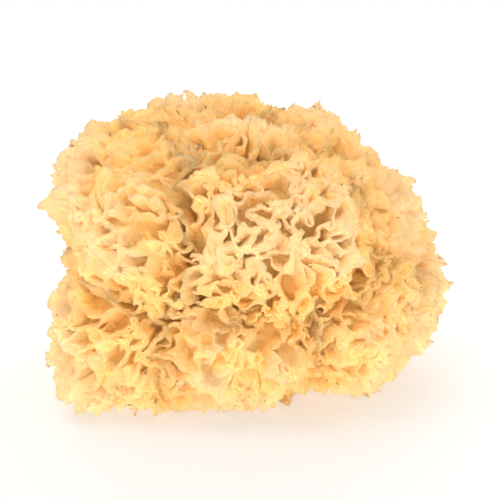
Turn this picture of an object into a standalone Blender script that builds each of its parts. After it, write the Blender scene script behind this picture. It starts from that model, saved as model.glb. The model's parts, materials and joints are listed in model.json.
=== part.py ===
"""A dried snow fungus head: a tough foot, cut flat, and the ruffled fronds that fork from it.

Metres, +Z up. The origin is the middle of the flat cut under the foot. The fronds spread from
one growth point above the cut, each in its own share of the directions, like florets.
"""

import math

import bmesh
import bpy
import numpy as np
from mathutils import Vector

# The fronds grow out to a rounded, boxy skin of this size
HEAD_WIDTH = 0.094
HEAD_DEPTH = 0.090
HEAD_HEIGHT = 0.069
# 2 would be an ellipsoid, and more fills out its shoulders. Towards +X they slope, and towards -X
# the head has grown square
BOXINESS = (2.1, 3.9)

# The growth point stands this high above the cut
GROWTH_HEIGHT = 0.023
# The underside rounds back to the foot as if the skin went on to this far below the growth point
UNDERSIDE_DROP = 0.026

# The foot is a knob round the growth point, on a stub that ends in the cut
KNOB_RADIUS = 0.012
STUB_RADIUS = 0.0135
FLUTE_COUNT = 7
FLUTE_SHARE = 0.06
# Before it is cut at the origin, the stub runs on to this far below the growth point
STUB_DROP = 0.032
# Neighbouring pieces keep this gap, measured square to the plane between them
PIECE_GAP = 0.0004
# The lowest fronds hang this far above the surface that the foot stands on
FLOOR_CLEARANCE = 0.0005

# Each ring of fronds: name, how many, elevation and first azimuth in degrees
RINGS = (
    ("lower_frond", 7, -9.0, 12.0),
    ("middle_frond", 6, 31.0, 40.0),
    ("top_frond", 3, 68.0, 15.0),
)
# Real heads are uneven, so azimuth and elevation wander by up to these many degrees
AZIMUTH_WANDER = 6.0
ELEVATION_WANDER = 4.5
SEED = 7

# A frond is a dome that falls away at its edges, leaving a cleft to the next one
CLEFT_DEPTH = 0.095
CLEFT_SHARE = 0.24
# Its skin winds in ridges with pits between them, this far apart and this deep
RIDGE_SPACING = 0.0115
RIDGE_DEPTH = 0.0038
# Fronds differ in how far they reach
REACH_WANDER = 0.045

# Each solid is a ball of six square patches with this many cells to a side
FROND_CELLS = 7
FOOT_CELLS = 6
# A frond's cells are drawn together towards its tip, by this share
TIP_FOCUS = 0.30
# A frond's own middle, as a share of the way out to the skin, and the foot's, of the way down
FROND_MIDDLE = 0.66
FOOT_MIDDLE = 0.4
# Where two limits meet, a solid is rounded off, and less so the higher this is
FROND_SHARPNESS = 18
FOOT_SHARPNESS = 14
# The wave that winds the ridges is cut off at this height, which keeps crests and pits broad
WAVE_TOP = 1.3
# Halvings that find the skin along a ray, to well under a thousandth of a millimetre
SKIN_STEPS = 30

GROWTH_POINT = np.array((0.0, 0.0, GROWTH_HEIGHT))
DOWN = np.array((0.0, 0.0, -1.0))


def clear_scene():
    for thing in list(bpy.data.objects):
        bpy.data.objects.remove(thing, do_unlink=True)


def plain_material(name, colour, roughness):
    material = bpy.data.materials.new(name)
    material.use_nodes = True
    shader = material.node_tree.nodes["Principled BSDF"]
    shader.inputs["Base Color"].default_value = (*colour, 1.0)
    shader.inputs["Roughness"].default_value = roughness
    shader.inputs["Metallic"].default_value = 0.0
    return material


def frond_layout():
    """The fronds as dictionaries: name, unit axis, reach, and a shift that moves the ridges."""
    random = np.random.default_rng(SEED)
    fronds = []
    for ring, count, elevation, first in RINGS:
        for k in range(count):
            azimuth = first + 360.0 * k / count + AZIMUTH_WANDER * random.uniform(-1, 1)
            tilt = elevation + ELEVATION_WANDER * random.uniform(-1, 1)
            a, e = math.radians(azimuth), math.radians(tilt)
            axis = np.array((math.cos(a) * math.cos(e), math.sin(a) * math.cos(e), math.sin(e)))
            fronds.append(
                {
                    "name": f"{ring}_{k + 1}",
                    "axis": axis,
                    "reach": 1.0 + REACH_WANDER * random.uniform(-1, 1),
                    "shift": random.uniform(0, RIDGE_SPACING, 3),
                }
            )
    return fronds


def smooth_step(x):
    x = np.clip(x, 0.0, 1.0)
    return x * x * (3 - 2 * x)


def envelope(directions):
    """How far the head reaches from the growth point in each direction, before clefts and ridges."""
    sloping, square = BOXINESS
    power = sloping + (square - sloping) * smooth_step((1 - directions[:, 0]) / 2)
    height = np.where(directions[:, 2] > 0, HEAD_HEIGHT - GROWTH_HEIGHT, UNDERSIDE_DROP)
    across = np.abs(directions[:, 0]) / (HEAD_WIDTH / 2)
    deep = np.abs(directions[:, 1]) / (HEAD_DEPTH / 2)
    high = np.abs(directions[:, 2]) / height
    return (across**power + deep**power + high**power) ** (-1.0 / power)


def winding_ridges(places):
    """0 on the crest of a winding ridge and 1 in the pits between ridges, from places in space."""
    x, y, z = (places * (2 * math.pi / RIDGE_SPACING)).T
    wave = np.sin(x) * np.cos(y) + np.sin(y) * np.cos(z) + np.sin(z) * np.cos(x)
    return 0.5 - 0.5 * np.clip(wave / WAVE_TOP, -1, 1)


def frond_surface(points, frond, others):
    """How far out a frond's ridged skin lies, along the lines from the growth point to the points."""
    directions = points / np.linalg.norm(points, axis=1, keepdims=True)
    nearest_other = np.max(directions @ others.T, axis=1)
    dome = smooth_step((directions @ frond["axis"] - nearest_other) / CLEFT_SHARE)
    reach = envelope(directions) * frond["reach"] * (1 - CLEFT_DEPTH * (1 - dome))
    return reach - RIDGE_DEPTH * winding_ridges(directions * reach[:, None] + frond["shift"])


def distance_to_skin(centre, rays, frond, others):
    """Bisects along each ray from a frond's centre for the place where it meets the frond's skin."""
    near = np.zeros(len(rays))
    far = np.full(len(rays), 2 * HEAD_WIDTH)
    for _ in range(SKIN_STEPS):
        middle = (near + far) / 2
        points = centre + middle[:, None] * rays
        inside = np.linalg.norm(points, axis=1) < frond_surface(points, frond, others)
        near = np.where(inside, middle, near)
        far = np.where(inside, far, middle)
    return near


def distance_to_plane(centre, rays, normal, offset):
    """How far each ray runs before it leaves the half space where point @ normal < offset."""
    slope = rays @ normal
    room = offset - centre @ normal
    return np.where(slope > 1e-9, room / np.maximum(slope, 1e-9), np.inf)


def softly_nearest(distances, sharpness):
    """The nearest of several limits, rounded off where two are alike, and never beyond any of them."""
    total = sum((1.0 / np.minimum(d, 1.0)) ** sharpness for d in distances)
    return total ** (-1.0 / sharpness)


def ball_of_rays(build, cells, pole, focus):
    """Fills the mesh with a ball of six square patches, and gives the direction of each point."""
    bmesh.ops.create_cube(build, size=2.0)
    bmesh.ops.subdivide_edges(build, edges=build.edges, cuts=cells - 1, use_grid_fill=True)
    rays = np.tan(np.array([vertex.co[:] for vertex in build.verts]) * (math.pi / 4))
    rays /= np.linalg.norm(rays, axis=1, keepdims=True)
    # The angle from the pole shrinks near the pole and grows on the far side
    angle = np.arccos(np.clip(rays[:, 2], -1, 1))
    drawn = angle - focus * np.sin(angle)
    flat = np.maximum(np.sin(angle), 1e-9)
    rays = np.stack(
        (rays[:, 0] * np.sin(drawn) / flat, rays[:, 1] * np.sin(drawn) / flat, np.cos(drawn)), axis=1
    )
    turn = np.array(Vector((0, 0, 1)).rotation_difference(Vector(pole)).to_matrix())
    return rays @ turn.T


def rounded_solid(name, centre, pole, cells, focus, limit, material, collection, cut_at_base=False):
    """A ball whose points are pushed along their own rays until they meet the limit."""
    build = bmesh.new()
    rays = ball_of_rays(build, cells, pole, focus)
    reach = limit(centre, rays)
    for vertex, place in zip(build.verts, GROWTH_POINT + centre + reach[:, None] * rays):
        vertex.co = place
    if cut_at_base:
        cut_flat(build)
    return finish_solid(build, name, material, collection)


def cut_flat(build):
    """Takes away what lies below the origin and closes the cut with one flat face."""
    everything = list(build.verts) + list(build.edges) + list(build.faces)
    cut = bmesh.ops.bisect_plane(
        build, geom=everything, dist=1e-6, plane_co=(0, 0, 0), plane_no=(0, 0, 1), clear_inner=True
    )
    rim = [item for item in cut["geom_cut"] if isinstance(item, bmesh.types.BMEdge)]
    flat = bmesh.ops.edgeloop_fill(build, edges=rim)["faces"]
    build.normal_update()
    bmesh.ops.reverse_faces(build, faces=[face for face in flat if face.normal.z > 0])


def finish_solid(build, name, material, collection):
    mesh = bpy.data.meshes.new(name)
    build.to_mesh(mesh)
    build.free()
    mesh.shade_smooth()
    mesh.materials.append(material)
    solid = bpy.data.objects.new(name, mesh)
    collection.objects.link(solid)
    return solid


def make_frond(frond, axes, material, collection):
    """One frond, out to its skin and no further than its neighbours, the knob and the floor."""
    others = np.array([axis for axis in axes if axis is not frond["axis"]])

    def limit(centre, rays):
        distances = [distance_to_skin(centre, rays, frond, others)]
        for other in others:
            normal = (other - frond["axis"]) / np.linalg.norm(other - frond["axis"])
            distances.append(distance_to_plane(centre, rays, normal, -PIECE_GAP / 2))
        knob = -(KNOB_RADIUS + PIECE_GAP)
        distances.append(distance_to_plane(centre, rays, -frond["axis"], knob))
        floor = GROWTH_HEIGHT - FLOOR_CLEARANCE
        distances.append(distance_to_plane(centre, rays, DOWN, floor))
        return softly_nearest(distances, FROND_SHARPNESS)

    centre = frond["axis"] * FROND_MIDDLE * envelope(frond["axis"][None])[0]
    return rounded_solid(
        frond["name"], centre, frond["axis"], FROND_CELLS, TIP_FOCUS, limit, material, collection
    )


def make_foot(fronds, material, collection):
    """The knob that the fronds fork from, and the stub under it, cut flat where it grew."""

    def limit(centre, rays):
        distances = [distance_to_stub_side(centre, rays), distance_to_plane(centre, rays, DOWN, STUB_DROP)]
        for frond in fronds:
            to_knob = distance_to_plane(centre, rays, frond["axis"], KNOB_RADIUS)
            normal = (frond["axis"] - DOWN) / np.linalg.norm(frond["axis"] - DOWN)
            to_cell = distance_to_plane(centre, rays, normal, -PIECE_GAP / 2)
            # A ray is in a frond's room once it is past both of the planes that bound it
            distances.append(np.maximum(to_knob, to_cell))
        return softly_nearest(distances, FOOT_SHARPNESS)

    centre = DOWN * FOOT_MIDDLE * GROWTH_HEIGHT
    return rounded_solid(
        "foot", centre, DOWN, FOOT_CELLS, 0.0, limit, material, collection, cut_at_base=True
    )


def distance_to_stub_side(centre, rays):
    """How far each ray runs inside the stub's fluted side, which stands round the Z axis."""
    angle = np.arctan2(rays[:, 1], rays[:, 0])
    radius = STUB_RADIUS * (1 + FLUTE_SHARE * np.cos(FLUTE_COUNT * angle))
    return radius / np.maximum(np.linalg.norm(rays[:, :2], axis=1), 1e-9)


def main():
    clear_scene()
    collection = bpy.data.collections.new("snow_fungus")
    bpy.context.scene.collection.children.link(collection)
    frond_flesh = plain_material("frond_flesh", (0.93, 0.62, 0.26), 0.6)
    foot_flesh = plain_material("foot_flesh", (0.62, 0.27, 0.05), 0.7)
    fronds = frond_layout()
    axes = [frond["axis"] for frond in fronds]
    for frond in fronds:
        make_frond(frond, axes + [DOWN], frond_flesh, collection)
    make_foot(fronds, foot_flesh, collection)


main()
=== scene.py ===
# %% [markdown]
# # A dried snow fungus head
#
# A snow fungus grows as one body. A tough foot forks into fronds, and each frond ends in thin wavy
# membranes, packed so closely that the whole head looks like a ruffled ball. This lesson grows those
# membranes line by line, gives them their flesh, colour and light, and stands the head on its flat
# cut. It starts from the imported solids, one for the foot and one for each frond, which fix where
# everything sits.

import json
import math
from functools import partial
from types import SimpleNamespace

import bmesh
import bpy
import numpy as np
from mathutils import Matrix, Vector

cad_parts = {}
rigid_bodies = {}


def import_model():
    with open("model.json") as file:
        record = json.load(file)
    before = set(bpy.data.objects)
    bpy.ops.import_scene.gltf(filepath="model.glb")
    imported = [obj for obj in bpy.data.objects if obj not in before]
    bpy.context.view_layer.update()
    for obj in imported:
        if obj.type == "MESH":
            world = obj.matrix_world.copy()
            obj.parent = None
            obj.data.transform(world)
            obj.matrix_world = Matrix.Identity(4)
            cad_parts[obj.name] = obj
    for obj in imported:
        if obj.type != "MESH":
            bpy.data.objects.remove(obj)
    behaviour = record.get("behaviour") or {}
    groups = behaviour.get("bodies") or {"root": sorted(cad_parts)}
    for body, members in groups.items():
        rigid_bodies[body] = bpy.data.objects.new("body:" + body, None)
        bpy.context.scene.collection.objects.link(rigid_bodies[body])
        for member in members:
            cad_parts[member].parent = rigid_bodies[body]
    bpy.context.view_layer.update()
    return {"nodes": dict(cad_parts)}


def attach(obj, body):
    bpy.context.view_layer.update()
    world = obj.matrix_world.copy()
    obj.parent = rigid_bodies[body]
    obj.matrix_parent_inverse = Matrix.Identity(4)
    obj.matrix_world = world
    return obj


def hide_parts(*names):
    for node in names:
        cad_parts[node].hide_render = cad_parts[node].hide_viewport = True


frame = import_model()


print("solids:", sorted(frame["nodes"]))

# %% [markdown]
# ## Where the fronds point
#
# Everything grows from one point inside the head, above the cut. Three rings of fronds spread from
# it, each frond in its own share of the directions, and a little unevenly, as on real heads. The
# numbers and the seed are those of the solids, so each frond grows where its solid is. Lengths are
# in millimetres here, and the meshes are made in metres at the end.

# %% The layout of the fronds
MM = 0.001
HEAD_WIDTH, HEAD_DEPTH, HEAD_HEIGHT = 94.0, 90.0, 69.0
# the power that shapes the dome: 2 is a ball, and a high one is a box
SLOPING, SQUARE = 2.1, 3.9
GROWTH_HEIGHT = 23.0
GROWTH_POINT = np.array((0.0, 0.0, GROWTH_HEIGHT))
UNDERSIDE_DROP = 26.0
KNOB_RADIUS = 12.0
CLEFT_DEPTH, CLEFT_SHARE = 0.095, 0.24
# each ring's name, how many fronds, their elevation and the first one's azimuth, in degrees
RINGS = (("lower_frond", 7, -9.0, 12.0), ("middle_frond", 6, 31.0, 40.0), ("top_frond", 3, 68.0, 15.0))
AZIMUTH_WANDER, ELEVATION_WANDER, REACH_WANDER = 6.0, 4.5, 0.045
LAYOUT_SEED = 7
DOWN = np.array((0.0, 0.0, -1.0))


def lay_out_fronds():
    """Names, unit axes and reaches of all the fronds, ring by ring."""
    random = np.random.default_rng(LAYOUT_SEED)
    names, axes, reaches = [], [], []
    for ring, count, elevation, first in RINGS:
        for k in range(count):
            azimuth = math.radians(first + 360.0 * k / count + AZIMUTH_WANDER * random.uniform(-1, 1))
            tilt = math.radians(elevation + ELEVATION_WANDER * random.uniform(-1, 1))
            level = math.cos(tilt)
            axes.append((math.cos(azimuth) * level, math.sin(azimuth) * level, math.sin(tilt)))
            reaches.append(1.0 + REACH_WANDER * random.uniform(-1, 1))
            random.uniform(0, 1, 3)  # the solids draw three more numbers here
            names.append(f"{ring}_{k + 1}")
    return names, np.array(axes), np.array(reaches)


FROND_NAMES, FROND_AXES, FROND_REACHES = lay_out_fronds()
# the stub under the knob has the straight-down share of the directions
ALL_AXES = np.vstack((FROND_AXES, DOWN))
print(len(FROND_NAMES), "fronds")

# %% [markdown]
# ## How far a frond reaches
#
# The head's skin is the surface that all the rims grow out to. It is a boxy dome, square-shouldered
# towards -X and sloping towards +X. Where two fronds meet it falls away into a cleft, and on the
# sloping side a narrow crease in the cleft parts them further. It stops just above the table. The
# rims end a little inside the crests of the solid, because some will stand out again later.

# %% The skin
RIM_INSET = 1.2
TABLE_CLEARANCE = 1.4
SKIN_SHARPNESS = 12
CREASE_DEPTH, CREASE_SHARE = 1.4, 0.10
CREASED_FROM = -0.6


def lengths(vectors):
    return np.linalg.norm(vectors, axis=1)


def unit(vectors):
    return vectors / np.maximum(lengths(vectors), 1e-9)[:, None]


def smooth_step(x):
    x = np.clip(x, 0.0, 1.0)
    return x * x * (3 - 2 * x)


def between(pair, share):
    return pair[0] + (pair[1] - pair[0]) * share


def lower_of(one, other, sharpness):
    """The lower of two reaches, rounded off where they cross."""
    return (one**-sharpness + other**-sharpness) ** (-1 / sharpness)


def closeness_to_axes(ways):
    """The cosine between each direction and each axis, added up in the same order in every run."""
    return sum(ways[:, k, None] * ALL_AXES[:, k] for k in range(3))


def nearest_rival(ways, frond):
    """How close each direction lies to its own frond's axis, and to the nearest other one."""
    closeness = closeness_to_axes(ways)
    rows = np.arange(len(ways))
    own = closeness[rows, frond]
    closeness[rows, frond] = -2.0
    rival = closeness.argmax(axis=1)
    return own, closeness[rows, rival], rival


def skin(ways, frond):
    """Distance from the growth point to the skin, for directions that belong to these fronds."""
    up = np.where(ways[:, 2] > 0, HEAD_HEIGHT - GROWTH_HEIGHT, UNDERSIDE_DROP)
    shares = np.abs(ways) / np.stack((0 * up + HEAD_WIDTH / 2, 0 * up + HEAD_DEPTH / 2, up), axis=1)
    power = between((SLOPING, SQUARE), smooth_step((1 - ways[:, 0]) / 2))
    dome = (shares ** power[:, None]).sum(axis=1) ** (-1.0 / power)
    own, other, _ = nearest_rival(ways, frond)
    cleft = 1 - smooth_step((own - other) / CLEFT_SHARE)
    reach = dome * FROND_REACHES[frond] * (1 - CLEFT_DEPTH * cleft) - RIM_INSET
    creased = smooth_step(ways[:, 0] - CREASED_FROM)
    reach -= CREASE_DEPTH * creased * (1 - smooth_step((own - other) / CREASE_SHARE))
    table = (GROWTH_HEIGHT - TABLE_CLEARANCE) / np.maximum(-ways[:, 2], 1e-6)
    return lower_of(reach, table, SKIN_SHARPNESS)


print("reach along each frond, mm:", skin(FROND_AXES, np.arange(len(FROND_AXES))).round(1))

# %% [markdown]
# ## Smooth chance
#
# Growth is uneven, but neighbouring places are uneven alike. Lumpy noise gives that: a random value
# at each corner of a grid of cubes, blended smoothly in between. It always comes out the same. Each
# use of it is written as a seed, followed by the size and height of each kind of lump that it adds.

# %% Lumpy noise
FULL_RANGE = 1.3


def corner_value(x, y, z, seed):
    """A fixed random number from -1 to 1 for each whole-number corner."""
    mixed = (x * 374761393 + y * 668265263 + z * 1274126177 + seed * 362437) & 0xFFFFFFFF
    mixed = ((mixed ^ (mixed >> 13)) * 1103515245) & 0xFFFFFFFF
    return ((mixed ^ (mixed >> 16)) & 0xFFFFFFFF) / 0xFFFFFFFF * 2 - 1


def lumps(places, size, seed):
    """Smooth noise from about -1 to 1, in lumps of about this size."""
    scaled = places / size
    cell = np.floor(scaled).astype(np.int64)
    part = scaled - cell
    part = part**3 * (part * (part * 6 - 15) + 10)
    total = np.zeros(len(places))
    for corner in np.ndindex(2, 2, 2):
        weight = np.prod(np.where(corner, part, 1 - part), axis=1)
        total += weight * corner_value(*(cell + corner).T, seed)
    return FULL_RANGE * total


def added_lumps(places, seed, *kinds):
    return sum(amount * lumps(places, size, seed + k) for k, (size, amount) in enumerate(kinds))


def lumpy_vectors(places, seed, size, amount):
    return amount * np.stack([lumps(places, size, seed + k) for k in range(3)], axis=1)


# %% [markdown]
# ## Lines that grow
#
# A membrane can be thought of as a line that sweeps outwards from the knob and gets longer as it
# goes. Because it grows faster than the room it has, it has to wind, and that is exactly why real
# margins ruffle. So each frond starts as a few short lines on the knob. Every line is a row of
# points, and every point is kept as a direction from the growth point.

# %% The first lines on the knob
LINES_PER_FROND, POINTS_PER_LINE = 4, 5
LINE_STEP, LINE_OFFSET = 0.045, 0.20
OFF_ALL_AXES = (0.3, 0.2, 1.0)
GROWTH_SEED = 4
chance = np.random.default_rng(GROWTH_SEED)


def first_lines():
    """A few short straight lines around each frond's axis."""
    ways, frond, edges = [], [], []
    for index, axis in enumerate(FROND_AXES):
        side = np.cross(axis, OFF_ALL_AXES)
        side /= np.linalg.norm(side)
        other = np.cross(axis, side)
        turn = chance.uniform(0, 2 * math.pi)
        for k in range(LINES_PER_FROND):
            angle = turn + 2 * math.pi * k / LINES_PER_FROND
            middle = axis + LINE_OFFSET * (math.cos(angle) * side + math.sin(angle) * other)
            heading = chance.uniform(0, math.pi)
            along = math.cos(heading) * side + math.sin(heading) * other
            for m in range(POINTS_PER_LINE):
                ways.append(middle + along * (m - (POINTS_PER_LINE - 1) / 2) * LINE_STEP)
                frond.append(index)
                if m:
                    edges.append((len(ways) - 2, len(ways) - 1))
    return SimpleNamespace(
        ways=unit(np.array(ways)),
        frond=np.array(frond),
        edges=np.array(edges),
        # a guest is the end of a bridge, which sits on its host, a point of another line
        guests=np.zeros(0, int),
        hosts=np.zeros(0, int),
    )


lines = first_lines()
print(len(lines.ways), "points to start with")

# %% [markdown]
# ## Room to grow in
#
# Passes of membrane keep a distance from each other: wide apart on the knob, about 2 mm at the rim,
# which leaves pits as wide as the photographed head's. Some patches are crowded and others open, so
# the distance itself is lumpy. Testing all pairs of points would take far too long, so they are
# sorted into cubes, and only points in neighbouring cubes are compared.

# %% Distances between passes, and a fast search for near points
PASS_DISTANCE = (5.0, 2.0)
POINT_DISTANCE = (1.7, 0.95)
CROWDING = (5, (11.0, 0.24))
TYPICAL_REACH = 38.0


def places_at(share):
    """Where the points are when they have come this share of the way from the knob to the skin."""
    reach = KNOB_RADIUS + share * (skin(lines.ways, lines.frond) - KNOB_RADIUS)
    return lines.ways * reach[:, None]


def pass_distance(share):
    return between(PASS_DISTANCE, share) * (1 + added_lumps(lines.ways * TYPICAL_REACH, *CROWDING))


def near_pairs(places, reach):
    """Every pair of places no further apart than this."""
    cells = np.floor(places / reach).astype(np.int64)
    cells -= cells.min(axis=0) - 1
    rows, columns = cells[:, 1].max() + 2, cells[:, 2].max() + 2
    key = (cells[:, 0] * rows + cells[:, 1]) * columns + cells[:, 2]
    order = np.argsort(key, kind="stable")
    cubes, start, count = np.unique(key[order], return_index=True, return_counts=True)
    pairs = []
    for cube in np.ndindex(3, 3, 3):
        step = ((cube[0] - 1) * rows + cube[1] - 1) * columns + cube[2] - 1
        if step < 0:
            continue
        spot = np.minimum(np.searchsorted(cubes, key + step), len(cubes) - 1)
        found = np.nonzero(cubes[spot] == key + step)[0]
        many = count[spot[found]]
        first = np.repeat(found, many)
        run = np.arange(len(first)) - np.repeat(np.cumsum(many) - many, many)
        second = order[np.repeat(start[spot[found]], many) + run]
        fits = ((places[first] - places[second]) ** 2).sum(axis=1) < reach**2
        if step == 0:
            fits &= first < second
        pairs.append(np.stack((first[fits], second[fits]), axis=1))
    return np.concatenate(pairs).T


# %% [markdown]
# ## Letting the lines settle
#
# At each depth the lines are moved a little, several times over. Edges act as weak springs, the
# line likes to be straight, passes push each other away, and each frond keeps to its own share. The
# points never move more sideways than the membrane rises outwards in that layer, so the membrane
# can't fold over itself.

# %% Settling
SPRING, STRAIGHTEN, PUSH_APART = 0.28, 0.22, 0.16
PAIR_MARGIN = 1.25
WANDER = (11, 4.0, 0.05)
MOST_IN_A_ROUND = 0.3
HOMEWARD, MOST_ASTRAY = 0.5, 1.5
OVER_THE_CLEFT, OFF_THE_STUB = 1.7, -1.0
KEPT_DECIMALS = 6


def heap(index, vectors, count):
    """Adds up vectors that belong to the same point."""
    return np.stack([np.bincount(index, vectors[:, k], count) for k in range(3)], axis=1)


def links(count):
    """How many edges meet at each point."""
    return np.bincount(lines.edges.ravel(), minlength=count)


def pull_back_home(places):
    """A push for points that have strayed past the middle of a cleft."""
    _, _, rival = nearest_rival(lines.ways, lines.frond)
    inwards = unit(ALL_AXES[lines.frond] - ALL_AXES[rival])
    slack = np.where(rival == len(FROND_AXES), OFF_THE_STUB, OVER_THE_CLEFT)
    astray = np.clip(-(inwards * places).sum(axis=1) - slack, 0, MOST_ASTRAY)
    return HOMEWARD * astray[:, None] * inwards


def no_longer_than(vectors, most):
    return vectors * np.minimum(1.0, most / np.maximum(lengths(vectors), 1e-9))[:, None]


def settle(share, rounds, sideways):
    """Moves the points about at one depth, and gives their places."""
    a, b = lines.edges.T
    places = places_at(share)
    count = len(places)
    rest = between(POINT_DISTANCE, share)
    distance = pass_distance(share)
    i, j = near_pairs(places, distance.max())
    wish = (distance[i] + distance[j]) / 2
    close = lengths(places[i] - places[j]) < PAIR_MARGIN * wish
    i, j, wish = i[close], j[close], wish[close]
    linked = links(count)
    start = lines.ways.copy()
    reach = lengths(places)[:, None]
    drift = lumpy_vectors(places, *WANDER)
    for _ in range(rounds):
        edge = places[b] - places[a]
        length = lengths(edge)
        pull = (SPRING * (length - rest) / np.maximum(length, 1e-6))[:, None] * edge
        push = drift + heap(a, pull, count) - heap(b, pull, count)
        middle = heap(a, places[b], count) + heap(b, places[a], count)
        middle /= np.maximum(linked, 1)[:, None]
        push += np.where(linked[:, None] >= 2, STRAIGHTEN * (middle - places), 0.0)
        gap = places[i] - places[j]
        apart = lengths(gap)
        strength = PUSH_APART * wish * np.clip(1 - apart / wish, 0, 1) ** 2 / np.maximum(apart, 1e-6)
        push += heap(i, strength[:, None] * gap, count) - heap(j, strength[:, None] * gap, count)
        push += pull_back_home(places)
        push -= (push * lines.ways).sum(axis=1, keepdims=True) * lines.ways
        push = no_longer_than(push, MOST_IN_A_ROUND * sideways)
        moved = no_longer_than((unit(places + push) - start) * reach, sideways)
        lines.ways = unit(start + moved / reach)
        lines.ways[lines.guests] = lines.ways[lines.hosts]
        places = places_at(share)
    # growth magnifies a sum's last digits, which can differ from run to run, so they are cut off
    lines.ways = np.round(lines.ways, KEPT_DECIMALS)
    return places_at(share)


# %% [markdown]
# ## Growing longer
#
# A line gets longer when new points are put in the middle of its edges. Their number comes from the
# area that the head offers at this depth, measured with directions spread evenly over a ball, on a
# golden spiral. The longest edges and those with the emptiest surroundings are mostly split first,
# so the lines grow into the gaps. Each new point sits slightly off the line, which starts a bend.

# %% Splitting edges
WINDING, OFF_LINE = 2.05, 0.12
CROWD_REACH, CROWD_WEIGHT = 1.5, 1.6
SPLIT_CHANCE, MOST_SPLIT = 0.7, 0.35
FAR_TOO_LONG, TOO_LONG_WEIGHT = 2.0, 10
SAMPLES = 4000
GOLDEN_ANGLE = math.pi * (3 - math.sqrt(5))
sample = np.arange(SAMPLES)
heights = 1 - 2 * (sample + 0.5) / SAMPLES
girths = np.sqrt(1 - heights**2)
turns = sample * GOLDEN_ANGLE
spread_ways = np.stack((girths * np.cos(turns), girths * np.sin(turns), heights), axis=1)
nearest = closeness_to_axes(spread_ways).argmax(axis=1)
of_fronds = nearest < len(FROND_AXES)
spread_reach = skin(spread_ways[of_fronds], nearest[of_fronds])


def points_wanted(share):
    reach = between((KNOB_RADIUS, spread_reach), share)
    area = 4 * math.pi * (reach**2).sum() / SAMPLES
    return int(WINDING * area / (between(PASS_DISTANCE, share) * between(POINT_DISTANCE, share)))


print("points wanted at the rim:", points_wanted(1.0))


def crowd(share, places):
    """How many points are near each point, as a share of the mean."""
    i, j = near_pairs(places, CROWD_REACH * between(PASS_DISTANCE, share))
    near = np.bincount(i, minlength=len(places)) + np.bincount(j, minlength=len(places))
    return near / near.mean()


def split_edges(share):
    """Adds points, and gives for each edge that was there the new point on it, or -1."""
    a, b = lines.edges.T
    places = places_at(share)
    rest = between(POINT_DISTANCE, share)
    length = lengths(places[a] - places[b])
    far_too_long = length > FAR_TOO_LONG * rest
    crowded = crowd(share, places)
    score = length / rest + chance.uniform(0, SPLIT_CHANCE, len(a)) + TOO_LONG_WEIGHT * far_too_long
    score -= CROWD_WEIGHT * (crowded[a] + crowded[b]) / 2
    wanted = min(points_wanted(share) - len(places), int(MOST_SPLIT * len(a)))
    split = np.argsort(-score)[: max(wanted, int(far_too_long.sum()), 0)]
    fresh = len(places) + np.arange(len(split))
    middle = (places[a[split]] + places[b[split]]) / 2
    sideways = unit(np.cross(middle, places[b[split]] - places[a[split]]))
    middle += sideways * (chance.normal(0, OFF_LINE, len(split)) * rest)[:, None]
    lines.ways = np.vstack((lines.ways, unit(middle)))
    lines.frond = np.concatenate((lines.frond, lines.frond[a[split]]))
    second_half = np.stack((fresh, b[split]), axis=1)
    child = np.full(len(a), -1)
    child[split] = fresh
    lines.edges[split, 1] = fresh
    lines.edges = np.vstack((lines.edges, second_half))
    return child


# %% [markdown]
# ## Tears and bridges
#
# Two more things happen on a real frond. The margin splits into lobes, so an edge is taken out here
# and there, and from that depth outwards the membrane has two free sides. And a membrane forks: a
# new one spans the gap between two passes, the widest gaps first, which parts a long gap into small
# cells. Those cells are the pits that show as dark dots all over the photographed head.

# %% Tearing the membranes into lobes
TEAR_FROM_END = 4


def steps_from_free_end(most):
    """How many edges each point is from the nearest free end, counted up to this many."""
    steps = np.where(links(len(lines.ways)) <= 1, 0.0, float(most))
    a, b = lines.edges.T
    for _ in range(most):
        np.minimum.at(steps, a, steps[b] + 1)
        np.minimum.at(steps, b, steps[a] + 1)
    return steps


def tear(count):
    inland = steps_from_free_end(TEAR_FROM_END) == TEAR_FROM_END
    whole = np.nonzero(inland[lines.edges].all(axis=1))[0]
    torn = chance.choice(whole, min(count, len(whole)), replace=False)
    lines.edges = np.delete(lines.edges, torn, axis=0)


# %% Bridging the gaps
BRIDGE_APART = 2.9
NARROWEST_BRIDGE, WIDEST_BRIDGE = 0.62, 2.4
MOST_SLANT, BRIDGE_CHANCE, CANDIDATES = 0.45, 0.8, 20
EMPTY_SHARE, SEARCH_SHARE = 0.33, 0.5


def along_the_lines(places):
    """The direction of the line at each of its points."""
    a, b = lines.edges.T
    edge = unit(places[b] - places[a])
    return unit(heap(a, edge, len(places)) + heap(b, edge, len(places)))


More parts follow.
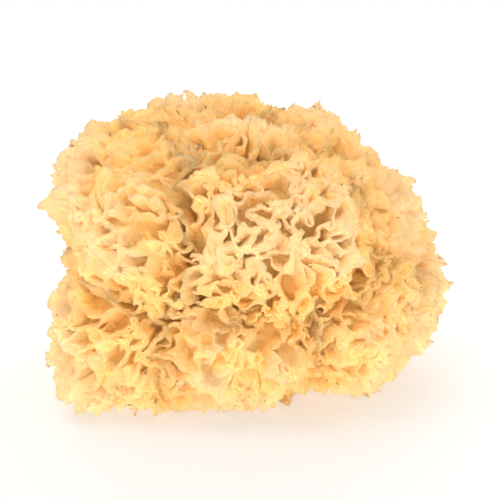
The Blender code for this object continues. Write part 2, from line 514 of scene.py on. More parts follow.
def gaps_to_bridge(places, distance, count):
    """Pairs of points that face each other squarely across an empty gap."""
    along = along_the_lines(places)
    i, j = near_pairs(places, WIDEST_BRIDGE * distance.mean())
    gap = places[j] - places[i]
    apart = lengths(gap)
    slant = np.maximum(np.abs((gap * along[i]).sum(axis=1)), np.abs((gap * along[j]).sum(axis=1)))
    wish = (distance[i] + distance[j]) / 2
    good = (lines.frond[i] == lines.frond[j]) & (slant < MOST_SLANT * apart)
    good &= apart > NARROWEST_BRIDGE * wish
    wide_first = chance.uniform(0, BRIDGE_CHANCE, len(i)) + apart / wish
    picked = np.nonzero(good)[0]
    picked = picked[np.argsort(-wide_first[picked])][: CANDIDATES * count]
    i, j, apart = i[picked], j[picked], apart[picked]
    middles = (places[i] + places[j]) / 2
    p, q = near_pairs(np.vstack((places, middles)), SEARCH_SHARE * apart.max())
    p, q = np.minimum(p, q), np.maximum(p, q)
    crossed = (p < len(places)) & (q >= len(places))
    p, q = p[crossed], q[crossed] - len(places)
    inside = lengths(places[p] - middles[q]) < EMPTY_SHARE * apart[q]
    empty = np.ones(len(i), bool)
    empty[q[inside]] = False
    chosen = []
    for k in np.nonzero(empty)[0]:
        if all(np.linalg.norm(middles[k] - middles[m]) > BRIDGE_APART for m in chosen):
            chosen.append(k)
        if len(chosen) == count:
            break
    return i[chosen], j[chosen]


def bridge(share, count):
    """Lays new lines across the widest gaps, in steps like those of the other lines."""
    places = places_at(share)
    rest = between(POINT_DISTANCE, share)
    for start, end in zip(*gaps_to_bridge(places, pass_distance(share), count)):
        steps = max(2, math.ceil(np.linalg.norm(places[end] - places[start]) / rest))
        fresh = len(lines.ways) + np.arange(steps + 1)
        path = places[start] + np.linspace(0, 1, steps + 1)[:, None] * (places[end] - places[start])
        lines.ways = np.vstack((lines.ways, unit(path)))
        lines.frond = np.concatenate((lines.frond, np.full(steps + 1, lines.frond[start])))
        lines.edges = np.vstack((lines.edges, np.stack((fresh[:-1], fresh[1:]), axis=1)))
        lines.guests = np.concatenate((lines.guests, fresh[[0, -1]]))
        lines.hosts = np.concatenate((lines.hosts, (start, end)))


# %% [markdown]
# ## The whole growth
#
# The lines sweep out from the knob in layers, far apart deep down, where nothing shows, and close
# together at the rim. Each layer is stitched to the one below: an unsplit edge gives a four-sided
# face, and a split one gives three triangles. Deeper than about 7 mm the membranes have fused into
# the solid flesh of the frond, so no faces are kept there. The net is coarse on purpose, because it
# is subdivided later, which rounds all its corners.

# %% Sweeping outwards
GROWTH_LENGTH = 27.0
FUSED_DEPTH = 7.4
FUSED_END, FUSED_STEP = 18, 1.9
FREE_DEPTHS = (7.3, 4.3, 1.8, 0.0)
LAYERS = np.append(np.arange(0, FUSED_END, FUSED_STEP), GROWTH_LENGTH - np.array(FREE_DEPTHS))
TEARS_FROM, BRIDGES_FROM, BOTH_UNTIL = 0.62, 0.40, 0.97
TEARS_PER_LAYER, BRIDGES_PER_LAYER = 110, 200
FIRST_ROUNDS, FIRST_SIDEWAYS = 30, 3.0
LEAST_ROUNDS, ROUNDS_PER_MM = 9, 4
SIDEWAYS_PER_MM = 0.9


def sweep_out():
    """Grows all the lines to the skin, and gives the layers' places and the faces between them."""
    shares = LAYERS / GROWTH_LENGTH
    layers = [settle(0.0, FIRST_ROUNDS, FIRST_SIDEWAYS)]
    squares, triangles = [], []
    below, here = 0, len(layers[0])
    for k in range(1, len(shares)):
        if TEARS_FROM < shares[k] < BOTH_UNTIL:
            tear(TEARS_PER_LAYER)
        a, b = lines.edges.T.copy()
        child = split_edges(shares[k])
        if BRIDGES_FROM < shares[k] < BOTH_UNTIL:
            bridge(shares[k], BRIDGES_PER_LAYER)
        rise = LAYERS[k] - LAYERS[k - 1]
        rounds = LEAST_ROUNDS + int(ROUNDS_PER_MM * rise)
        layers.append(settle(shares[k], rounds, SIDEWAYS_PER_MM * rise))
        if GROWTH_LENGTH - LAYERS[k - 1] <= FUSED_DEPTH:
            # the corners of each face: the edge's ends below, and its ends and the new point here
            p, q, r, s, new = below + a, below + b, here + b, here + a, here + child
            squares.append(np.stack((p, q, r, s), axis=1)[child < 0])
            for corners in ((p, new, s), (p, q, new), (q, r, new)):
                triangles.append(np.stack(corners, axis=1)[child >= 0])
        below, here = here, here + len(layers[-1])
    return layers, np.vstack(squares), np.vstack(triangles)


layers, squares, triangles = sweep_out()
rim = layers[-1]
print(len(rim), "points on the rim,", len(squares), "squares,", len(triangles), "triangles")

# %% [markdown]
# ## Dried and crisped
#
# So far all the rims end on one smooth skin. Drying curls them. Groups of lobes lean over together,
# each lobe ends higher or lower than the next and is rounded off at its free sides, the margin
# crimps into ruffles, and its last few millimetres roll over. A rolled margin shows its round flank,
# so the high side of the head looks soft, and the other side, which is rolled less and crimped
# more, looks crisp. All of it is worked out on the rim and fades with depth, so each membrane bends
# as one sheet.

# %% Leans, heights and ruffles
LEANS = ((21, 9.0, 2.0), (31, 4.0, 1.4))
HEIGHTS = (41, (8.0, 1.7), (2.5, 1.5))
RUFFLES = (51, (1.6, 1.7))
ROLLS = (55, (4.5, 1.0), (2.2, 0.8))
END_DROP, END_STEPS = 2.4, 4
STRIP_DROP = 3.5
# each kind of bend fades out at its own depth under the rim
LEAN_DEPTH, HEIGHT_DEPTH, RUFFLE_DEPTH, ROLL_DEPTH = 12.0, 8.0, 5.0, 4.0
RUFFLE_FADE = 1.4
SOFT_SIDE = unit(np.array([(-0.62, -0.45, 0.64)]))[0]
SOFT_FROM, SOFT_OVER = 0.35, 0.5
LESS_RUFFLE = 0.55
ROLL_WHERE_CRISP, MORE_ROLL = 0.8, 0.7
LOWEST, TABLE_SOFTNESS = 0.35, 0.6
HOLLOW_DEPTH = 2.6


def softness_of(outwards):
    return smooth_step(((outwards * SOFT_SIDE).sum(axis=1) - SOFT_FROM) / SOFT_OVER)


def rim_height(places):
    """How much higher or lower than the skin the margin ends here."""
    return added_lumps(places, *HEIGHTS)


# this share strengthens the painted golden glow of clefts and hollows, and trims the subsurface weight
# a trace
def sheltered_share(places, frond):
    """1 in a cleft between two fronds or where the margin ends low, falling to 0 on open crests."""
    ways = unit(places - GROWTH_POINT)
    own, other, _ = nearest_rival(ways, frond)
    in_the_open = smooth_step((own - other) / CLEFT_SHARE)
    low = smooth_step(-rim_height(ways * skin(ways, frond)[:, None]) / HOLLOW_DEPTH)
    return 1 - in_the_open * (1 - low)


def end_drop():
    """How far the margin ends lower near a free side, and all along a strip that is very narrow."""
    steps = steps_from_free_end(END_STEPS)
    widest = steps.copy()
    widest[lines.guests] = END_STEPS
    a, b = lines.edges.T
    for _ in range(END_STEPS):
        np.maximum.at(widest, a, widest[b])
        np.maximum.at(widest, b, widest[a])
    return END_DROP * (1 - steps / END_STEPS) ** 2 + STRIP_DROP * (1 - widest / END_STEPS)


def crisp(layers):
    """Bends each layer by what its points do at the rim, less and less with depth."""
    outwards = unit(rim)
    across = np.cross(outwards, along_the_lines(rim))
    lean = sum(lumpy_vectors(rim, *kind) for kind in LEANS)
    lean -= (lean * outwards).sum(axis=1, keepdims=True) * outwards
    height = (rim_height(rim) - end_drop())[:, None]
    softness = softness_of(outwards)[:, None]
    ruffle = added_lumps(rim, *RUFFLES)[:, None] * (1 - LESS_RUFFLE * softness)
    turn = added_lumps(rim, *ROLLS)[:, None] * (ROLL_WHERE_CRISP + MORE_ROLL * softness)
    bent = []
    for layer, places in enumerate(layers):
        n = len(places)
        depth = GROWTH_LENGTH - LAYERS[layer]
        shape = places + smooth_step(1 - depth / LEAN_DEPTH) * lean[:n]
        shape += smooth_step(1 - depth / HEIGHT_DEPTH) * height[:n] * unit(places)
        shape += max(1 - depth / RUFFLE_DEPTH, 0) ** RUFFLE_FADE * ruffle[:n] * across[:n]
        rolled = max(ROLL_DEPTH - depth, 0)
        angle = turn[:n] * rolled / ROLL_DEPTH
        shape += rolled * np.sin(angle / 2) * np.sinc(angle / math.tau) * across[:n]
        shape += rolled * (np.sinc(angle / math.pi) - 1) * unit(places)
        shape[:, 2] += GROWTH_HEIGHT
        # what would sink into the table lies on it instead
        above = np.logaddexp(0, (shape[:, 2] - LOWEST) / TABLE_SOFTNESS)
        shape[:, 2] = LOWEST + above * TABLE_SOFTNESS
        bent.append(shape)
    return bent


points = np.vstack(crisp(layers))
depth_below_rim = np.repeat(GROWTH_LENGTH - LAYERS, [len(layer) for layer in layers])
point_frond = np.concatenate([lines.frond[: len(layer)] for layer in layers])
print("membranes reach, mm:", points.min(axis=0).round(1), points.max(axis=0).round(1))

# %% [markdown]
# ## Colour, with painted glow in the depths
#
# Dried snow fungus is a waxy, slightly see-through flesh. Its thin rims scatter the light and look
# cream, while the light that comes back from deep between the membranes has passed through many of
# them and is golden orange. The base colour paints that golden glow in: it turns golden with depth
# below the rim, and more so in clefts and hollows.

# %% Helpers for materials
def srgb(text):
    """Turns a colour such as F7CB8A into linear red, green, blue and alpha."""
    values = [int(text[k : k + 2], 16) / 255 for k in (0, 2, 4)]
    return (*(v / 12.92 if v <= 0.04045 else ((v + 0.055) / 1.055) ** 2.4 for v in values), 1.0)


def feed(tree, socket, value):
    """Sets an input to a value, or links it from an output or from a node's first output."""
    if isinstance(value, bpy.types.Node):
        value = value.outputs[0]
    if isinstance(value, bpy.types.NodeSocket):
        tree.links.new(value, socket)
    else:
        socket.default_value = value


def add_node(tree, kind, settings=None, **inputs):
    """Adds a node with these settings and inputs, which are named, or numbered as i0, i1 and so on."""
    node = tree.nodes.new(kind)
    for key, value in (settings or {}).items():
        setattr(node, key, value)
    for key, value in inputs.items():
        numbered = key[0] == "i" and key[1:].isdigit()
        feed(tree, node.inputs[int(key[1:]) if numbered else key], value)
    return node


def start_material(name):
    material = bpy.data.materials.new(name)
    material.use_nodes = True
    return material, material.node_tree.nodes["Principled BSDF"]


def set_stops(ramp, stops):
    """Gives a Color Ramp these positions and hex colours."""
    elements = ramp.color_ramp.elements
    elements.remove(elements[1])
    elements[0].position, elements[0].color = stops[0][0], srgb(stops[0][1])
    for position, colour in stops[1:]:
        elements.new(position).color = srgb(colour)


def add_noise(tree, place, scale, detail):
    return add_node(tree, "ShaderNodeTexNoise", Vector=place, Scale=scale, Detail=detail)


def from_growth_point(tree, place):
    settings = {"operation": "SUBTRACT"}
    return add_node(tree, "ShaderNodeVectorMath", settings, i0=place, i1=tuple(GROWTH_POINT * MM))


def times_plus(tree, value, factor, rest):
    return add_node(tree, "ShaderNodeMath", {"operation": "MULTIPLY_ADD"}, i0=value, i1=factor, i2=rest)


def mapped(tree, value, low, high, start=0.0, end=1.0):
    """Turns low..high into start..end, and keeps to that range."""
    return add_node(tree, "ShaderNodeMapRange", Value=value, i1=low, i2=high, i3=start, i4=end)


def finish_flesh(tree, shader, colour, relief, strength, height, gloss, glow):
    """Sets what both kinds of flesh share. The height of the relief is in metres.

    The glow is light that spreads inside: its weight, its reach by colour and its scale in metres.
    """
    bump = add_node(tree, "ShaderNodeBump", Height=relief, Strength=strength, Distance=height)
    shader.subsurface_method = "BURLEY"
    values = {"Base Color": colour, "Normal": bump, "Roughness": gloss, "IOR": 1.45}
    values.update(zip(("Subsurface Weight", "Subsurface Radius", "Subsurface Scale"), glow))
    for name, value in values.items():
        feed(tree, shader.inputs[name], value)


# %% The membranes' material
# by how many millimetres of depth shelter and patches make a rim more golden: the shelter's share is
# painted glow in clefts and hollows, and the patches are the flesh's own uneven tone
SHADE_GLOW_SHIFT, PATCH_SHIFT = 5.0, 9.0


def make_dried_membrane():
    """Dried snow fungus membrane: air-dried gel, waxy, cream, with painted golden glow in its depths.
    """
    material, shader = start_material("dried_snow_fungus_membrane")
    tree = material.node_tree
    place = add_node(tree, "ShaderNodeTexCoord").outputs["Object"]
    depth = add_node(tree, "ShaderNodeAttribute", {"attribute_name": "depth_mm"}).outputs["Fac"]
    sheltered = add_node(tree, "ShaderNodeAttribute", {"attribute_name": "sheltered"}).outputs["Fac"]
    patches = add_noise(tree, place, 60.0, 3.0)
    flecks = add_noise(tree, place, 420.0, 2.0)
    # painted glow: golden with depth, more so in clefts and hollows, standing in for light that has
    # passed through many membranes, and a little different from patch to patch
    painted_glow_depth = times_plus(tree, patches, PATCH_SHIFT, times_plus(tree, sheltered, SHADE_GLOW_SHIFT, depth))
    colour = add_node(tree, "ShaderNodeValToRGB", Fac=mapped(tree, painted_glow_depth, 3.0, 14.0))
    set_stops(colour, ((0.0, "F5D9A6"), (0.3, "F8D8A3"), (0.6, "FFDA94"), (1.0, "FFCF78")))
    tint = mapped(tree, flecks, 0.55, 0.75, 0.0, 0.35)
    fleck = srgb("F5C06C")
    tinted = add_node(tree, "ShaderNodeMix", {"data_type": "RGBA"}, i0=tint, i6=colour, i7=fleck)
    # veins run outwards as the membrane grew: noise that only depends on the direction from the
    # growth point, with threads about 0.8 mm apart at the rim, broken up by fine wrinkles
    outwards = from_growth_point(tree, place)
    ways = add_node(tree, "ShaderNodeVectorMath", {"operation": "NORMALIZE"}, i0=outwards)
    veins = add_noise(tree, ways, 55.0, 2.0)
    relief = times_plus(tree, add_noise(tree, place, 1100.0, 4.0), 0.5, veins)
    gloss = mapped(tree, patches, 0.0, 1.0, 0.42, 0.62)
    # light spreads about 6 mm, from sheet to sheet, nearly as far in blue as in red, and a trace
    # less of it where the rims are sheltered
    glow = (mapped(tree, sheltered, 0.0, 1.0, 0.8, 0.78), (1.0, 0.97, 0.93), 0.006)
    finish_flesh(tree, shader, tinted.outputs[2], relief, 0.7, 0.0006, gloss, glow)
    return material


membrane_flesh = make_dried_membrane()
print("made", membrane_flesh.name)

# %% [markdown]
# ## Flesh on the membranes
#
# The grown net is coarse and has no thickness. One level of Subdivision Surface makes it round and
# smooth, and after it come the finest crimps, along the sheet's own normals. A dried membrane is
# about 0.45 mm at the rim and thicker where it leaves the flesh. Solidify gives it that, with a
# vertex group that says how thick each part is, and closes its free edges.

# %% The membranes of one frond
THICKEST, THINNEST = 1.0, 0.45
CRIMP_DEPTH = 5.0
CRIMPS = (71, (2.0, 0.6), (1.0, 0.32))
FRAY = (75, (1.4, 0.35), (0.8, 0.2))
FRAY_FADE = 3
PETALS_ABOVE, FEWER_WHERE_SOFT = 3.5, 0.75


def write_points(mesh, name, values):
    mesh.attributes.new(name, "FLOAT", "POINT").data.foreach_set("value", values)


def smooth_mesh(name, corners, faces):
    mesh = bpy.data.meshes.new(name)
    mesh.from_pydata(corners, [], faces)
    mesh.shade_smooth()
    return mesh


def frond_mesh(index):
    """The bare surface of one frond, with its depth below the rim on every point."""
    used = np.nonzero(point_frond == index)[0]
    renumber = np.full(len(points), -1)
    renumber[used] = np.arange(len(used))
    faces = [face for kind in (squares, triangles)
             for face in renumber[kind[point_frond[kind[:, 0]] == index]].tolist()]
    mesh = smooth_mesh(FROND_NAMES[index] + "_membranes", (points[used] * MM).tolist(), faces)
    write_points(mesh, "depth_mm", depth_below_rim[used])
    write_points(mesh, "sheltered", sheltered_share(points[used], point_frond[used]))
    return mesh


def modified_mesh(piece):
    """The result of the piece's only modifier, which is taken off."""
    evaluated = piece.evaluated_get(bpy.context.evaluated_depsgraph_get())
    mesh = bpy.data.meshes.new_from_object(evaluated)
    piece.modifiers.clear()
    return mesh


def read_points(mesh, name, width):
    values = np.empty(len(mesh.vertices) * width)
    mesh.attributes[name].data.foreach_get("vector" if width == 3 else "value", values)
    return values.reshape(-1, width) if width == 3 else values


def crimp(piece):
    """Subdivides the sheet once and adds the finest crimps, which the net was too coarse for."""
    round_off = piece.modifiers.new("round_off", "SUBSURF")
    round_off.levels = round_off.render_levels = 1
    piece.data = modified_mesh(piece)
    mesh = piece.data
    places = read_points(mesh, "position", 3) / MM
    depth = read_points(mesh, "depth_mm", 1)
    normals = np.empty(len(mesh.vertices) * 3)
    mesh.vertex_normals.foreach_get("vector", normals)
    outwards = unit(places - GROWTH_POINT)
    near_rim = np.clip(1 - depth / CRIMP_DEPTH, 0, 1)
    shift = (near_rim * added_lumps(places, *CRIMPS))[:, None] * normals.reshape(-1, 3)
    shift += (near_rim**FRAY_FADE * added_lumps(places, *FRAY))[:, None] * outwards
    places += shift
    places[:, 2] = np.maximum(places[:, 2], LOWEST)
    mesh.attributes["position"].data.foreach_set("vector", (places * MM).ravel())
    crispness = (1 - FEWER_WHERE_SOFT * softness_of(outwards)) * (places[:, 2] > PETALS_ABOVE)
    write_points(mesh, "crispness", crispness)


def thicken(piece):
    """Gives the surface its flesh, thick at its foot and thin at the rim."""
    depths = read_points(piece.data, "depth_mm", 1).clip(0, FUSED_DEPTH)
    steps = np.round(depths / FUSED_DEPTH, 1)
    group = piece.vertex_groups.new(name="flesh")
    for value in np.unique(steps):
        group.add(np.nonzero(steps == value)[0].tolist(), value, "REPLACE")
    solidify = piece.modifiers.new("flesh", "SOLIDIFY")
    solidify.thickness = THICKEST * MM
    solidify.offset = 0.0
    solidify.vertex_group = "flesh"
    solidify.thickness_vertex_group = THINNEST / THICKEST
    piece.data = modified_mesh(piece)
    piece.vertex_groups.clear()


# %% [markdown]
# ## Crisped petals on the margin
#
# The margin of a dried membrane carries small lobes of its own, two or three millimetres wide, that
# have dried into little cups. Geometry Nodes set them along the rim: the free border of the sheet
# becomes a curve, places are measured off along it, and at each chosen place stands one of three
# petals, turned outwards along the growth and then tumbled by chance.

# %% Three petals
PETAL_WIDTH, PETAL_HEIGHT, PETAL_FOOT = 2.7, 1.9, 0.5
PETAL_BENDS = (0.25, 0.6, 0.95)
PETAL_CELLS = 3
# the width goes up the petal as these parts of 1, the way up and its square
PETAL_PROFILE = (0.55, 1.8, -2.0)
PETAL_ROUNDING, PETAL_CUP = 0.45, 0.35
PETAL_DEPTH = 1.5


def triangle_count(mesh):
    return sum(len(face.vertices) - 2 for face in mesh.polygons)


def make_petal(bend):
    """A small cupped leaf, rounded at its tip, that stands on the origin and bends towards +Y."""
    build = bmesh.new()
    bmesh.ops.create_grid(build, x_segments=PETAL_CELLS, y_segments=PETAL_CELLS, size=1.0)
    depth = build.verts.layers.float.new("depth_mm")
    for vertex in build.verts:
        across, up = vertex.co.x, (vertex.co.y + 1) / 2
        profile = sum(part * up**power for power, part in enumerate(PETAL_PROFILE))
        half_width = PETAL_WIDTH / 2 * profile
        height = PETAL_HEIGHT * up * (1 - PETAL_ROUNDING * across**2)
        lean = bend * PETAL_HEIGHT * up**2 - PETAL_CUP * half_width * across**2 * up
        vertex.co = (half_width * across * MM, lean * MM, (height - PETAL_FOOT) * MM)
        # the petal's foot counts as deeper, so the painted glow makes it a little more golden
        vertex[depth] = PETAL_DEPTH * (1 - up)
    bmesh.ops.solidify(build, geom=build.faces, thickness=THINNEST * MM)
    bmesh.ops.recalc_face_normals(build, faces=build.faces)
    mesh = bpy.data.meshes.new("petal")
    build.to_mesh(mesh)
    build.free()
    mesh.materials.append(membrane_flesh)
    return bpy.data.objects.new("petal", mesh)


petals = bpy.data.collections.new("petals")
for bend in PETAL_BENDS:
    petals.objects.link(make_petal(bend))


# %% The tree that sets the petals
PETAL_INPUTS = {
    "Spacing": ("NodeSocketFloat", 7.0 * MM),
    "Share": ("NodeSocketFloat", 0.7),
    "Smallest": ("NodeSocketFloat", 0.55),
    "Largest": ("NodeSocketFloat", 1.2),
    "Seed": ("NodeSocketInt", 5),
    "Petals": ("NodeSocketCollection", petals),
    "Flesh": ("NodeSocketMaterial", membrane_flesh),
}
TUMBLE = np.radians((40.0, 15.0, 40.0))
AT_RIM = 0.05


def make_petal_tree():
    """From a sheet, the petals that stand on its free border."""
    tree = bpy.data.node_groups.new("crisped_petals", "GeometryNodeTree")
    tree.interface.new_socket("Sheet", in_out="INPUT", socket_type="NodeSocketGeometry")
    for name, (kind, _) in PETAL_INPUTS.items():
        tree.interface.new_socket(name, in_out="INPUT", socket_type=kind)
    tree.interface.new_socket("Petals", in_out="OUTPUT", socket_type="NodeSocketGeometry")
    add = partial(add_node, tree)
    given = add("NodeGroupInput").outputs
    seed = given["Seed"]
    # the free border that lies at the rim
    neighbours = add("GeometryNodeInputMeshEdgeNeighbors")
    border = add("FunctionNodeCompare", {"data_type": "INT", "operation": "EQUAL"},
                 i2=neighbours.outputs["Face Count"], i3=1)
    depth = add("GeometryNodeInputNamedAttribute", Name="depth_mm")
    at_rim = add("FunctionNodeCompare", {"operation": "LESS_THAN"}, i0=depth, i1=AT_RIM)
    free = add("FunctionNodeBooleanMath", i0=border, i1=at_rim)
    rim_curve = add("GeometryNodeMeshToCurve", Mesh=given["Sheet"], Selection=free)
    places = add("GeometryNodeResampleCurve", {"mode": "LENGTH"}, Curve=rim_curve,
                 Length=given["Spacing"])
    # chance decides where one stands, and the soft side of the head gets fewer
    crispness = add("GeometryNodeInputNamedAttribute", Name="crispness")
    wanted = add("ShaderNodeMath", {"operation": "MULTIPLY"}, i0=crispness, i1=given["Share"])
    draw = add("FunctionNodeRandomValue", Seed=seed)
    chosen = add("FunctionNodeCompare", {"operation": "LESS_THAN"}, i0=draw.outputs[1], i1=wanted)
    # each stands along the growth and faces across the rim, and is then tumbled
    here = add("GeometryNodeInputPosition")
    outwards = from_growth_point(tree, here)
    along = add("GeometryNodeInputTangent")
    upright = add("FunctionNodeAlignRotationToVector", {"axis": "Z"}, Vector=outwards)
    facing = add("FunctionNodeAlignRotationToVector", {"axis": "X", "pivot_axis": "Z"},
                 Rotation=upright, Vector=along)
    turn = add("FunctionNodeRandomValue", {"data_type": "FLOAT_VECTOR"}, i0=tuple(-TUMBLE),
               i1=tuple(TUMBLE), Seed=seed)
    tumble = add("FunctionNodeEulerToRotation", Euler=turn)
    tumbled = add("FunctionNodeRotateRotation", {"rotation_space": "LOCAL"}, i0=facing, i1=tumble)
    size = add("FunctionNodeRandomValue", i2=given["Smallest"], i3=given["Largest"], Seed=seed)
    which = add("FunctionNodeRandomValue", {"data_type": "INT"}, i4=0, i5=len(PETAL_BENDS) - 1,
                Seed=seed)
    shapes = add("GeometryNodeCollectionInfo", Collection=given["Petals"],
                 **{"Separate Children": True, "Reset Children": True})
    stood = add("GeometryNodeInstanceOnPoints", Points=places, Selection=chosen,
                Instance=shapes, Rotation=tumbled, Scale=size.outputs[1],
                **{"Pick Instance": True, "Instance Index": which.outputs[2]})
    real = add("GeometryNodeRealizeInstances", Geometry=stood)
    fleshed = add("GeometryNodeSetMaterial", Geometry=real, Material=given["Flesh"])
    add("NodeGroupOutput", i0=fleshed)
    return tree


petal_tree = make_petal_tree()


# %% The petals of one frond
def add_object(name, data):
    thing = bpy.data.objects.new(name, data)
    bpy.context.scene.collection.objects.link(thing)
    return thing


def petals_along(sheet, number):
    """The petals for this sheet's rim, as a plain mesh."""
    bearer = add_object("bearer", sheet.copy())
    modifier = bearer.modifiers.new("petals", "NODES")
    modifier.node_group = petal_tree
    for socket in petal_tree.interface.items_tree:
        if socket.in_out == "INPUT" and socket.name in PETAL_INPUTS:
            modifier[socket.identifier] = PETAL_INPUTS[socket.name][1]
            if socket.name == "Seed":
                modifier[socket.identifier] += number
    mesh = modified_mesh(bearer)
    bpy.data.objects.remove(bearer)
    return mesh


# %% [markdown]
# ## The flesh that they stand on
#
# Under its membranes a frond is one solid fleshy branch, and that is what shows at the bottom of
# the pits, golden by painted glow. Its own solid has that form already, only too large. So a copy of
# it is made finer, drawn in to about 4 mm under the skin and given the lumps of dried gel. The copy
# is merged first, because the imported mesh is loose triangles.

# %% The flesh of one frond
FLESH_BELOW = 4.2
FLESH_LUMPS = (61, (4.5, 1.0), (2.0, 0.6))
FLESH_SHARPNESS = 16
LEAST_REACH = 4.0
MERGED = 0.01


def frond_flesh(index):
    """The branch under one frond's membranes."""
    build = bmesh.new()
    build.from_mesh(frame["nodes"][FROND_NAMES[index]].data)
    bmesh.ops.remove_doubles(build, verts=build.verts, dist=MERGED * MM)
    bmesh.ops.subdivide_edges(build, edges=build.edges, cuts=1, use_grid_fill=True)
    places = np.array([v.co for v in build.verts]) / MM - GROWTH_POINT
    reach = lengths(places)
    ways = places / reach[:, None]
    own = np.full(len(ways), index)
    top = skin(ways, own)
    limit = np.maximum(top - FLESH_BELOW + added_lumps(places, *FLESH_LUMPS), LEAST_REACH)
    drawn_in = lower_of(reach, limit, FLESH_SHARPNESS)
    drawn = ways * drawn_in[:, None] + GROWTH_POINT
    # its depth below the skin and its shelter give the membranes' material its painted golden glow
    depth = build.verts.layers.float.new("depth_mm")
    sheltered = build.verts.layers.float.new("sheltered")
    shelter = sheltered_share(drawn, own)
    for vertex, place, below, share in zip(build.verts, drawn, top - drawn_in, shelter):
        vertex.co = place * MM
        vertex[depth] = below
        vertex[sheltered] = share
    mesh = bpy.data.meshes.new(FROND_NAMES[index] + "_flesh")
    build.to_mesh(mesh)
    build.free()
    return mesh


# %% One mesh for each frond
def join(piece, *more):
    """Adds other meshes to the piece's own, and shades all of it smooth."""
    build = bmesh.new()
    for mesh in (piece.data, *more):
        build.from_mesh(mesh)
    build.to_mesh(piece.data)
    build.free()
    piece.data.shade_smooth()


counts = []
for index, name in enumerate(FROND_NAMES):
    piece = add_object(name + "_membranes", frond_mesh(index))
    piece.data.materials.append(membrane_flesh)
    crimp(piece)
    crisped = petals_along(piece.data, index)
    thicken(piece)
    join(piece, frond_flesh(index), crisped)
    counts.append(triangle_count(piece.data))
    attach(piece, "root")
    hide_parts(name)
for petal in list(petals.objects):
    bpy.data.objects.remove(petal)
bpy.data.collections.remove(petals)
bpy.data.node_groups.remove(petal_tree)
print("triangles in the fronds:", sum(counts), "most in one:", max(counts))

# %% [markdown]
# ## The foot
#
# The foot is the oldest and toughest part: a short stub, cut flat where it sat on its log, under the
# knob that all the fronds fork from. It shrinks a lot as it dries, so its side is drawn into deep
# upright folds. It is made as rings of points from the middle of the cut outwards, up the side and
# over the knob, because such a skin closes by itself, and each ring can have its own radius.

# %% The rings of the foot
STUB_RADIUS = 13.5
FLUTES, FLUTE_SHARE = 7, 0.06
AROUND = 120
CUT_SHARES = (0.12, 0.25, 0.38, 0.51, 0.64, 0.76, 0.87, 0.95)
SIDE_HEIGHTS = (0.0, 0.35, 0.9, 1.7, 2.7, 3.9, 5.2, 6.6, 8.0, 9.5, 11.0, 12.5, 14.0)
KNOB_TURNS = np.radians((-38, -22, -6, 12, 30, 48, 66, 80))
EDGE_ROUNDING, EDGE_HEIGHT, TAPER = 0.5, 0.4, 0.07
FOLDS, FOLD_CIRCLE, FOLD_STRETCH = (81, (1.9, 1.3)), 9, 5
# how much of the folds' depth is there at the cut, and the height over which the rest comes
FOLD_START, FOLD_RISE = 0.35, 8
TORN, WHOLE_EDGE, CUT_MIDDLE = (85, (1.6, 0.35)), 0.2, 0.2
angles = math.tau * np.arange(AROUND) / AROUND


def around(radius, height):
    return np.stack((radius * np.cos(angles), radius * np.sin(angles), 0 * angles + height), axis=1)


def ring(radius, height):
    """One ring of points, drawn in by the upright folds, which deepen upwards from the cut."""
    folds = added_lumps(around(FOLD_CIRCLE, height / FOLD_STRETCH), *FOLDS)
    creases = -np.abs(folds) * min(FOLD_START + height / FOLD_RISE, 1.0)
    wide = radius * (1 + FLUTE_SHARE * np.cos(FLUTES * angles)) + creases * radius / STUB_RADIUS
    return around(wide, height)


def foot_rings():
    """From the middle of the cut to its edge, up the side and over the knob."""
    rings = []
    for share in CUT_SHARES:
        flat = ring(share * STUB_RADIUS, 0.0)
        # the blade tore the flesh a little, but the cut rests on the table at its rim
        flat[:, 2] += np.abs(added_lumps(flat, *TORN)) * smooth_step((1 - share) / WHOLE_EDGE)
        rings.append(flat)
    for height in SIDE_HEIGHTS:
        edge = EDGE_ROUNDING * math.exp(-height / EDGE_HEIGHT)
        rings.append(ring(STUB_RADIUS - edge - TAPER * height, height))
    for turn in KNOB_TURNS:
        rings.append(ring(KNOB_RADIUS * math.cos(turn), GROWTH_HEIGHT + KNOB_RADIUS * math.sin(turn)))
    return rings


# %% The foot's material
def make_dried_foot():
    """Dried foot of a snow fungus: horny amber to brown flesh in fibres and blotches, rough where it
    was cut.
    """
    material, shader = start_material("dried_snow_fungus_foot")
    tree = material.node_tree
    place = add_node(tree, "ShaderNodeTexCoord").outputs["Object"]
    # upright fibres about 1 mm apart: the pattern is drawn out to four times its height
    stretch = add_node(tree, "ShaderNodeMapping", Vector=place)
    stretch.inputs["Scale"].default_value = (1.0, 1.0, 0.25)
    fibres = add_noise(tree, stretch, 900.0, 5.0)
    blotches = add_noise(tree, place, 190.0, 4.0)
    mixed = times_plus(tree, blotches, 0.6, fibres)
    colour = add_node(tree, "ShaderNodeValToRGB", Fac=mixed)
    set_stops(colour, ((0.55, "C07F3C"), (0.74, "DFA257"), (0.90, "F0BE7A"), (1.0, "F8D6A2")))
    gloss = mapped(tree, blotches, 0.0, 1.0, 0.5, 0.75)
    glow = (0.5, (1.0, 0.7, 0.35), 0.0015)
    finish_flesh(tree, shader, colour.outputs[0], mixed, 0.6, 0.0005, gloss, glow)
    return material


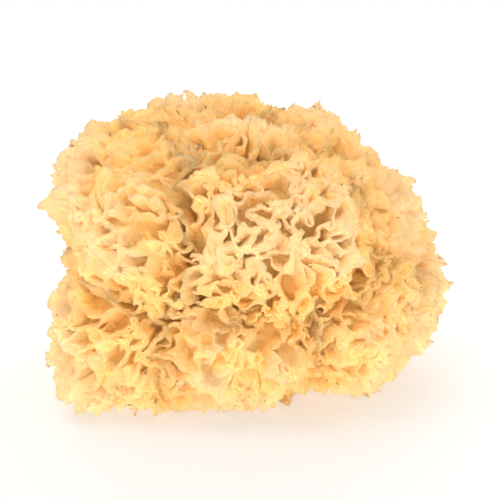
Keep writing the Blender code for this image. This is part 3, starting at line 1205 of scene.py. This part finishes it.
# %% The foot's mesh
def make_foot():
    """Joins the rings with four-sided faces, and closes both ends with a fan of triangles."""
    rings = foot_rings()
    poles = [(0.0, 0.0, CUT_MIDDLE), GROWTH_POINT - KNOB_RADIUS * DOWN]
    corners = np.vstack((*rings, poles)) * MM
    count = AROUND * len(rings)
    pairs = [(k, (k + 1) % AROUND) for k in range(AROUND)]
    last = count - AROUND
    faces = [(count, q, p) for p, q in pairs]
    for low in range(0, last, AROUND):
        faces += [(low + p, low + q, low + AROUND + q, low + AROUND + p) for p, q in pairs]
    faces += [(last + p, last + q, count + 1) for p, q in pairs]
    mesh = smooth_mesh("foot_flesh", corners.tolist(), faces)
    mesh.materials.append(make_dried_foot())
    return add_object("foot_flesh", mesh)


foot = make_foot()
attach(foot, "root")
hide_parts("foot")
print("triangles in the foot:", triangle_count(foot.data))

# %% [markdown]
# ## The stage
#
# A plain pale floor curves up behind. One broad soft light hangs almost overhead, a second fills
# from behind the camera, and a third shines through the rims from the back.

# %% Floor and lights
SWEEP_START, SWEEP_RADIUS, SWEEP_TOP = 0.9, 0.7, 2.6
SWEEP_STEPS = 16
FLOOR_REACH = 2.5
FLOOR_GLOW, ROOM_LIGHT = 0.44, 0.41
HEAD_MIDDLE = Vector((0.0, 0.0, 0.032))
# each light's place, its size in metres and its power in watts
LIGHTS = {
    "key": ((-0.18, -0.18, 0.68), 0.45, 0.65),
    "fill": ((0.02, -0.85, 0.26), 0.30, 0.59),
    "behind": ((0.15, 0.50, 0.45), 0.35, 0.22),
}


def make_floor():
    """A sheet that lies flat under the head and curves up behind it, as in a photographer's sweep."""
    turn = np.linspace(0, math.pi / 2, SWEEP_STEPS + 1)
    back = SWEEP_START + SWEEP_RADIUS * np.sin(turn)
    up = SWEEP_RADIUS * (1 - np.cos(turn))
    profile = [(-FLOOR_REACH, 0.0), *zip(back, up), (back[-1], SWEEP_TOP)]
    corners = [(x, y, z) for y, z in profile for x in (-FLOOR_REACH, FLOOR_REACH)]
    faces = [(k, k + 1, k + 3, k + 2) for k in range(0, len(corners) - 2, 2)]
    mesh = smooth_mesh("floor", corners, faces)
    material, shader = start_material("matt_white_board")
    shader.inputs["Base Color"].default_value = srgb("FAF9F7")
    shader.inputs["Roughness"].default_value = 0.9
    shader.inputs["Emission Color"].default_value = srgb("FFFFFF")
    shader.inputs["Emission Strength"].default_value = FLOOR_GLOW
    mesh.materials.append(material)
    floor = add_object("floor", mesh)


def place_and_aim(thing, place, target):
    thing.location = place
    thing.rotation_euler = (target - thing.location).to_track_quat("-Z", "Y").to_euler()


make_floor()
for name, (place, size, watts) in LIGHTS.items():
    soft = bpy.data.lights.new(name, "AREA")
    soft.size, soft.energy = size, watts
    place_and_aim(add_object(name, soft), place, HEAD_MIDDLE)
world = bpy.data.worlds.new("soft_room")
bpy.context.scene.world = world
world.use_nodes = True
room = world.node_tree.nodes["Background"]
room.inputs["Color"].default_value = srgb("FFFFFF")
room.inputs["Strength"].default_value = ROOM_LIGHT
bpy.context.scene.view_settings.view_transform = "Standard"

# %% Camera
CAMERA_TILT = math.radians(15.0)
CAMERA_DISTANCE = 0.285
CAMERA_LENS = 85
CAMERA_AIM = Vector((0.0, 0.0, 0.031))
camera = add_object("camera", bpy.data.cameras.new("camera"))
camera.data.lens = CAMERA_LENS
away = Vector((0, -math.cos(CAMERA_TILT), math.sin(CAMERA_TILT)))
place_and_aim(camera, CAMERA_AIM + CAMERA_DISTANCE * away, CAMERA_AIM)
bpy.context.scene.camera = camera
